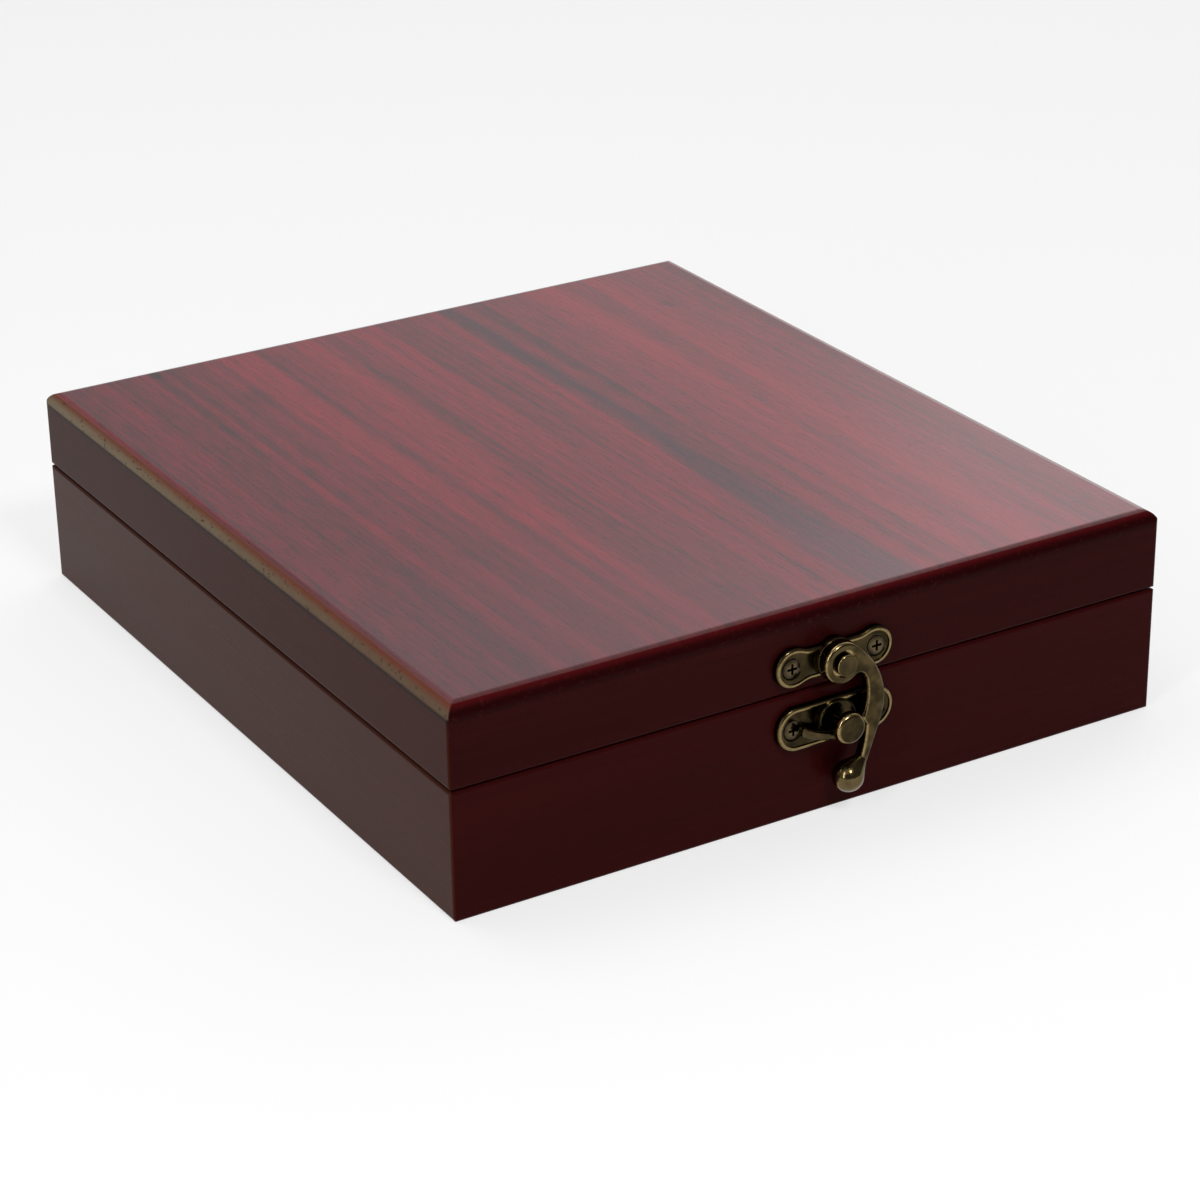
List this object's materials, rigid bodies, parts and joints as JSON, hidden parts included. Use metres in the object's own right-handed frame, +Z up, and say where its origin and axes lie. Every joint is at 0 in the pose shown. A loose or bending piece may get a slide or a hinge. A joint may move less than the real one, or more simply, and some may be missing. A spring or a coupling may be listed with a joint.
{
  "type": "hinged keepsake box",
  "caption": "Low rectangular wooden keepsake box with a rounded-edge hinged lid, felt-lined inside, closed on the front by a swing-hook latch over a headed post.",
  "frame": {"origin": "middle of the underside, on the surface the box rests on", "axes": "+Z up, +Y towards the hinged back, +X to the right seen from the latch side"},
  "size_m": [0.165, 0.1973, 0.0448],
  "materials": {
    "cherry_wood": "satin lacquer",
    "cherry_board": "satin lacquer",
    "cherry_veneer": "satin lacquer",
    "bottom_wood": "stained",
    "felt": "matte",
    "bronze": "antique",
    "bronze_screw": "antique"
  },
  "bodies": {
    "base": {"base_front_wall": "cherry_wood", "base_right_wall": "cherry_wood", "base_back_wall": "cherry_wood", "base_left_wall": "cherry_wood", "base_bottom_panel": "bottom_wood", "base_floor_lining": "felt", "latch_keeper_plate": "bronze", "latch_keeper_post": "bronze", "latch_keeper_screws": "bronze_screw", "left_hinge_base_leaf": "bronze", "left_hinge_pin": "bronze", "left_hinge_base_screws": "bronze_screw", "right_hinge_base_leaf": "bronze", "right_hinge_pin": "bronze", "right_hinge_base_screws": "bronze_screw"},
    "lid": {"lid_front_rail": "cherry_wood", "lid_right_rail": "cherry_wood", "lid_back_rail": "cherry_wood", "lid_left_rail": "cherry_wood", "lid_top_panel": "cherry_board", "lid_top_veneer": "cherry_veneer", "lid_lining": "felt", "latch_pivot_plate": "bronze", "latch_pivot_rivet": "bronze", "latch_pivot_screws": "bronze_screw", "left_hinge_lid_leaf": "bronze", "left_hinge_lid_screws": "bronze_screw", "right_hinge_lid_leaf": "bronze", "right_hinge_lid_screws": "bronze_screw"},
    "hook": {"latch_hook": "bronze"}
  },
  "joints": [
    {"name": "lid_hinge", "type": "hinge", "parent": "base", "child": "lid", "pos_m": [0, 0.0952, 0.02745], "axis": [-1, 0, 0], "range_deg": [0, 180]},
    {"name": "latch_swing", "type": "hinge", "parent": "lid", "child": "hook", "pos_m": [0.0018, -0.093, 0.0334], "axis": [0, -1, 0], "range_deg": [-12, 270]}
  ]
}
